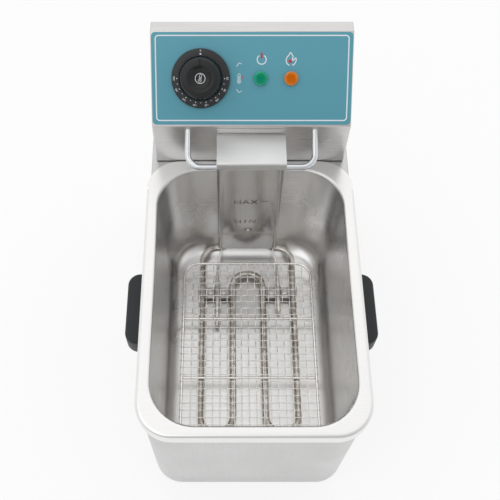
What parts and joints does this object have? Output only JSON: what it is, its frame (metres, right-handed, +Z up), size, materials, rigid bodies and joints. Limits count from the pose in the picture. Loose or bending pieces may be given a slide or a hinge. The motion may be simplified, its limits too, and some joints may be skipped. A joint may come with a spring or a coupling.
{
  "type": "deep fryer",
  "caption": "Countertop electric deep fryer: steel housing, lift-out oil pan with side handles, and a lift-off control head with knob, pilot lamps and immersed heating element.",
  "frame": {"origin": "on the ground plane under the middle of the overall box", "axes": "+X to the object's right seen from the front, -Y towards its front, +Z up"},
  "size_m": [0.245, 0.3774, 0.3204],
  "materials": {
    "housing_steel": "brushed stainless sheet",
    "plate_steel": "plain stainless plate",
    "pan_steel": "satin drawn stainless",
    "arm_steel": "satin stainless sheet",
    "wire_chrome": "polished wire",
    "screw_steel": "turned steel",
    "element_sheath": "oxidised heater sheath",
    "bulb_steel": "drawn tube",
    "rubber": "moulded rubber",
    "handle_plastic": "fine-grained heat-proof plastic",
    "knob_plastic": "satin moulded plastic",
    "dial_plastic": "moulded plastic, printed scale",
    "switch_plastic": "thermoset moulding",
    "gland_plastic": "nylon",
    "insulator": "ceramic-filled moulding",
    "button_red": "moulded plastic",
    "fascia_blue": "printed blue-green panel with a pale border line",
    "lens_green": "tinted transparent lens",
    "lens_orange": "tinted transparent lens"
  },
  "bodies": {
    "housing": {"outer_housing": "housing_steel", "base_plate": "plate_steel", "base_screws": "screw_steel", "rubber_feet": "rubber", "foot_screws": "screw_steel", "side_handle_left": "handle_plastic", "side_handle_right": "handle_plastic", "handle_screws": "screw_steel", "docking_bracket": "plate_steel", "bracket_rivets": "screw_steel"},
    "pan": {"oil_pan": "pan_steel"},
    "head": {"head_casing": "housing_steel", "head_floor": "plate_steel", "head_back_cover": "plate_steel", "cover_screws": "screw_steel", "fascia_panel": "fascia_blue", "dial_ring": "dial_plastic", "thermostat_body": "switch_plastic", "thermostat_screws": "screw_steel", "thermostat_bulb": "bulb_steel", "thermostat_capillary": "bulb_steel", "limit_thermostat": "switch_plastic", "limit_bulb": "bulb_steel", "limit_capillary": "bulb_steel", "reset_collar": "dial_plastic", "micro_switch": "switch_plastic", "switch_bracket": "plate_steel", "terminal_block": "insulator", "cord_gland": "gland_plastic", "gland_nut": "gland_plastic", "lens_green": "lens_green", "lens_orange": "lens_orange", "lamp_holders": "insulator", "element_arm": "arm_steel", "arm_rivet": "screw_steel", "arm_back_plate": "arm_steel", "arm_top_plate": "arm_steel", "basket_rail": "wire_chrome", "rail_nuts": "screw_steel", "heating_element": "element_sheath", "element_terminals": "insulator", "clamp_uppers": "arm_steel", "clamp_lowers": "arm_steel", "clamp_screws": "screw_steel"},
    "knob": {"thermostat_knob": "knob_plastic", "thermostat_shaft": "screw_steel"},
    "reset": {"reset_button": "button_red"},
    "plunger": {"switch_plunger": "button_red"},
    "grid": {"grid_frame": "wire_chrome", "grid_bars": "wire_chrome", "grid_long_wires": "wire_chrome", "grid_cross_wires": "wire_chrome"}
  },
  "joints": [
    {"name": "pan_lift", "type": "slide", "parent": "housing", "child": "pan", "axis": [0, 0, 1], "range_m": [0, 0.17]},
    {"name": "head_lift", "type": "slide", "parent": "pan", "child": "head", "axis": [0, 0, 1], "range_m": [0, 0.2]},
    {"name": "grid_lift", "type": "slide", "parent": "head", "child": "grid", "axis": [0, 0, 1], "range_m": [0, 0.2]},
    {"name": "knob_turn", "type": "hinge", "parent": "head", "child": "knob", "pos_m": [-0.0488, 0.13387, 0.29145], "axis": [0, 0.6596, -0.7516], "range_deg": [0, 270]},
    {"name": "reset_press", "type": "slide", "parent": "head", "child": "reset", "axis": [0, -1, 0], "range_m": [0, 0.0025], "stiffness_N_per_m": 400},
    {"name": "plunger_press", "type": "slide", "parent": "head", "child": "plunger", "axis": [0, 0, 1], "range_m": [0, 0.0015], "stiffness_N_per_m": 300}
  ]
}
